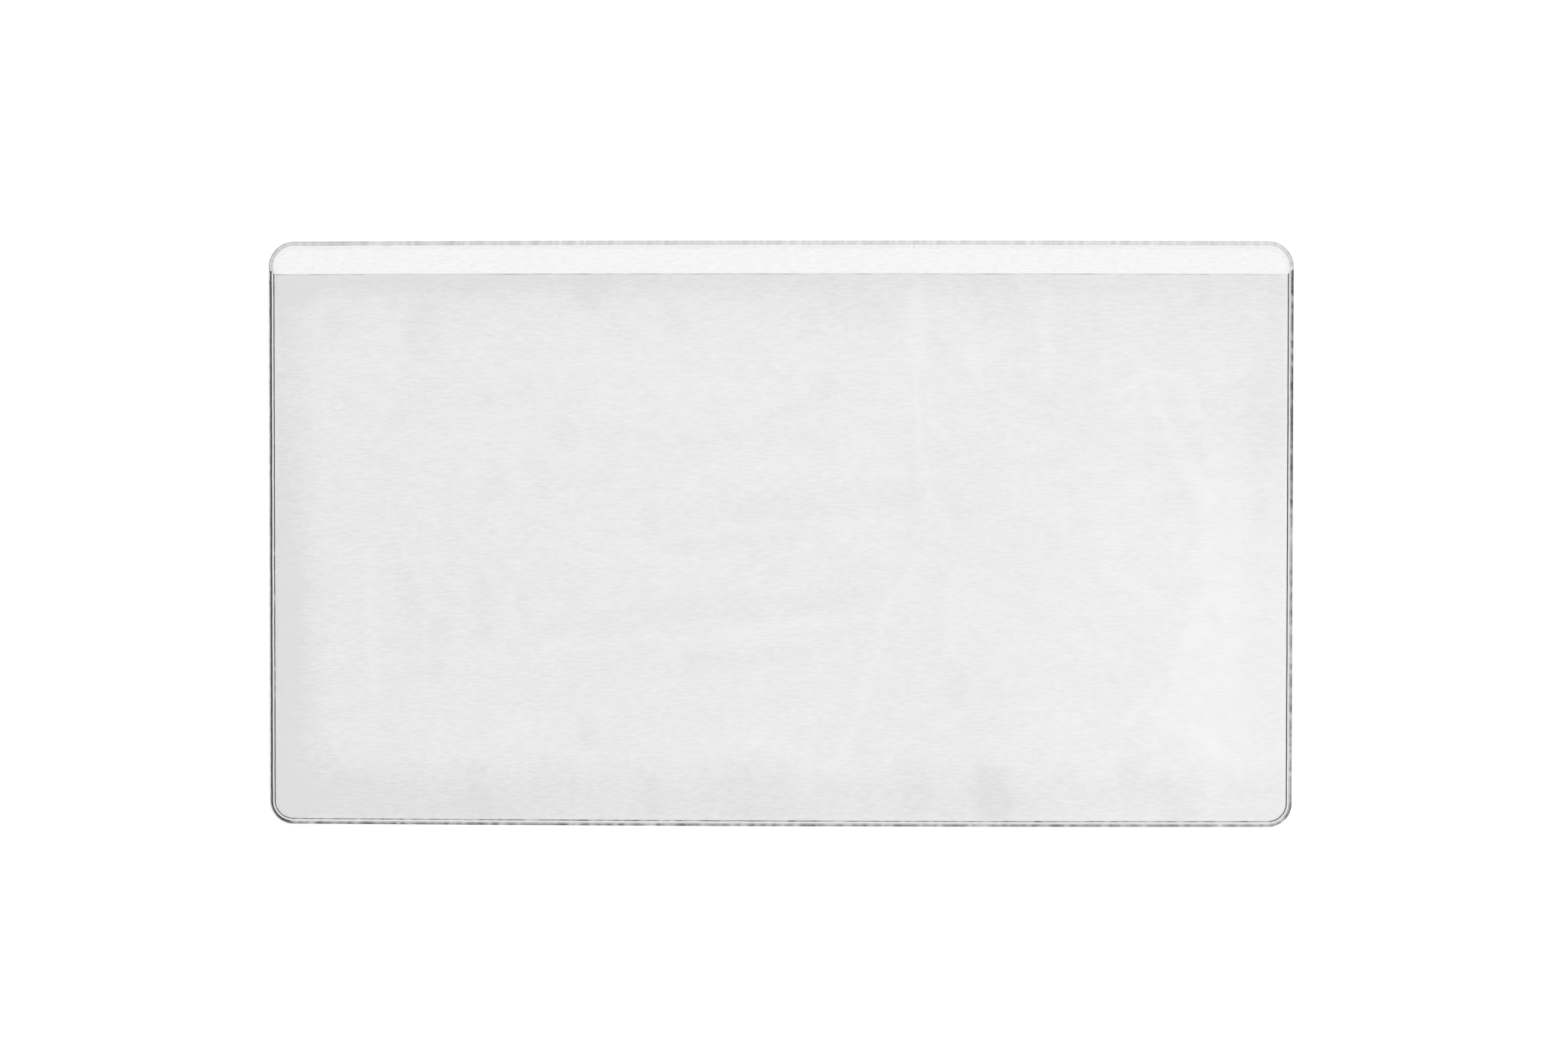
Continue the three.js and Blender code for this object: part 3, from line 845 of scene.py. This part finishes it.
def front_half(name, side, material):
    """Half of the front film, from the side weld to the middle line, where the other half joins it."""
    x, y, calm = half_grid(side)
    rows, count = x.shape
    from_mouth = (MOUTH - y) / MM
    wave = FILM_WAVE * calm * field(x / MM, y / MM, *WAVE_FIELD)
    round_off = CUT_ROUND * np.clip(1 - from_mouth / CUT_ROUND_REACH, 0, 1) ** 2
    top = np.stack([x, y, FRONT_FACE + wave - round_off], 2).reshape(-1, 3)
    bottom = np.stack([x, y, FRONT_LEVEL + wave + 0.5 * round_off], 2).reshape(-1, 3)
    ends = [part[count - 1::count] for part in (top, bottom)]
    # painted shade along the cut edge of the mouth, broken into dashes
    dashes = np.maximum(field(x / MM, y / MM, *DASH_FIELD), MOUTH_DASH_FLOOR)
    cut = MOUTH_SHADE * (1 + MOUTH_DASHES * dashes) * (from_mouth < MOUTH_SHADE_WIDTH)
    contact = contact_share(x / MM, y / MM)
    rest = len(top) + 2 * rows
    return mesh_object(name, bowed(np.concatenate([top, bottom, *ends])), half_faces(side, rows, count),
                       material,
                       contact=np.concatenate([contact.ravel(), np.full(rest, 2)]),
                       line=np.concatenate([cut.ravel(), np.zeros(rest)]),
                       join=np.concatenate([np.zeros(2 * len(top)), np.ones(2 * rows)]))


# Pieces
front_clear = clear_plastic("clear_front_film", cling_and_painted_light_share, dark=0.8, light=1.0, shade_tone=0.05, haze=0.012)
back_clear = clear_plastic("clear_back_film", lip_share, dark=0.965, light=1.0, shade_tone=0.05, haze=0.01)
weld_clear = clear_plastic("fused_rim", plain_share, dark=0.93, light=0.97, shade_tone=0.02, haze=0.02)

back = back_film(back_clear)
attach(back, "pocket")
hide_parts("back_film")

rim = weld_seam(weld_clear)
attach(rim, "pocket")
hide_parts("weld_seam")

glue = glue_sheet(glue_layer("adhesive_grain"))
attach(glue, "pocket")
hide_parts("adhesive_coat")

for side, name in ((-1, "front_film_left"), (1, "front_film_right")):
    half = front_half(name, side, front_clear)
    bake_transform(half)
    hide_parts("front_film")

backing = paper("backing_paper")
for cad_name in ("liner_left", "liner_right"):
    cad = frame["nodes"][cad_name]
    cad.data.materials.clear()
    cad.data.materials.append(backing)


# Stage: floor, lamps, world and camera

def seen_share(tree):
    """1 for what the camera sees directly, mirrored or through something clear, and 0 for light."""
    path = tree.nodes.new("ShaderNodeLightPath")
    seen = math_node(tree, "MAXIMUM", path.outputs["Is Camera Ray"], path.outputs["Is Glossy Ray"])
    return math_node(tree, "MAXIMUM", seen, path.outputs["Is Transmission Ray"])


def floor():
    """The pale floor, with a glow that only what is seen of it has."""
    material, tree, output = new_material("floor")
    pale = node(tree, "ShaderNodeBsdfDiffuse", Color=(*grey(FLOOR_TONE), 1))
    distance = tree.nodes.new("ShaderNodeVectorMath")
    distance.operation = "LENGTH"
    tree.links.new(object_place(tree), distance.inputs[0])
    strength = ramp(tree, distance.outputs["Value"], GLOW_START, GLOW_END, GLOW_NEAR, GLOW_FAR)
    glow = tree.nodes.new("ShaderNodeEmission")
    tree.links.new(math_node(tree, "MULTIPLY", seen_share(tree), strength), glow.inputs["Strength"])
    both = tree.nodes.new("ShaderNodeAddShader")
    tree.links.new(pale.outputs[0], both.inputs[0])
    tree.links.new(glow.outputs[0], both.inputs[1])
    tree.links.new(both.outputs[0], output.inputs["Surface"])
    r = FLOOR_REACH
    corners = [(x, y, FLOOR_LEVEL) for x, y in ((-r, -r), (r, -r), (r, r), (-r, r))]
    mesh_object("floor", corners, [(0, 1, 2, 3)], material)


def lamp(name, place, size, power):
    """A rectangular lamp that faces the object."""
    data = bpy.data.lights.new(name, "AREA")
    data.shape = "RECTANGLE"
    data.size, data.size_y = size
    data.energy = power
    made = bpy.data.objects.new(name, data)
    made.location = place
    made.rotation_euler = (-Vector(place)).to_track_quat("-Z", "Y").to_euler()
    bpy.context.scene.collection.objects.link(made)


def world():
    """Even studio light. What the camera sees past the floor is white."""
    made = bpy.data.worlds.new("studio")
    made.use_nodes = True
    tree = made.node_tree
    tree.nodes.clear()
    light = node(tree, "ShaderNodeBackground", Color=(1, 1, 1, 1), Strength=STUDIO_LIGHT)
    seen = node(tree, "ShaderNodeBackground", Color=(1, 1, 1, 1), Strength=1.0)
    output = tree.nodes.new("ShaderNodeOutputWorld")
    mixed = shader_mix(tree, seen_share(tree), light.outputs[0], seen.outputs[0])
    tree.links.new(mixed, output.inputs["Surface"])
    bpy.context.scene.world = made


def camera():
    data = bpy.data.cameras.new("camera")
    data.lens, data.sensor_width = LENS, SENSOR
    data.clip_start, data.clip_end = NEAREST, FARTHEST
    made = bpy.data.objects.new("camera", data)
    made.location = CAMERA_PLACE
    made.rotation_euler = Euler([math.radians(a) for a in CAMERA_TURN], "XYZ")
    bpy.context.scene.collection.objects.link(made)
    bpy.context.scene.camera = made


floor()
world()
lamp("key", place=(0.5, 0.45, 0.8), size=(0.5, 0.5), power=2.4)
lamp("fill", place=(-0.6, -0.3, 0.7), size=(0.6, 0.6), power=1.0)
camera()

scene = bpy.context.scene
scene.view_settings.view_transform = "Standard"
scene.cycles.transparent_max_bounces = 24
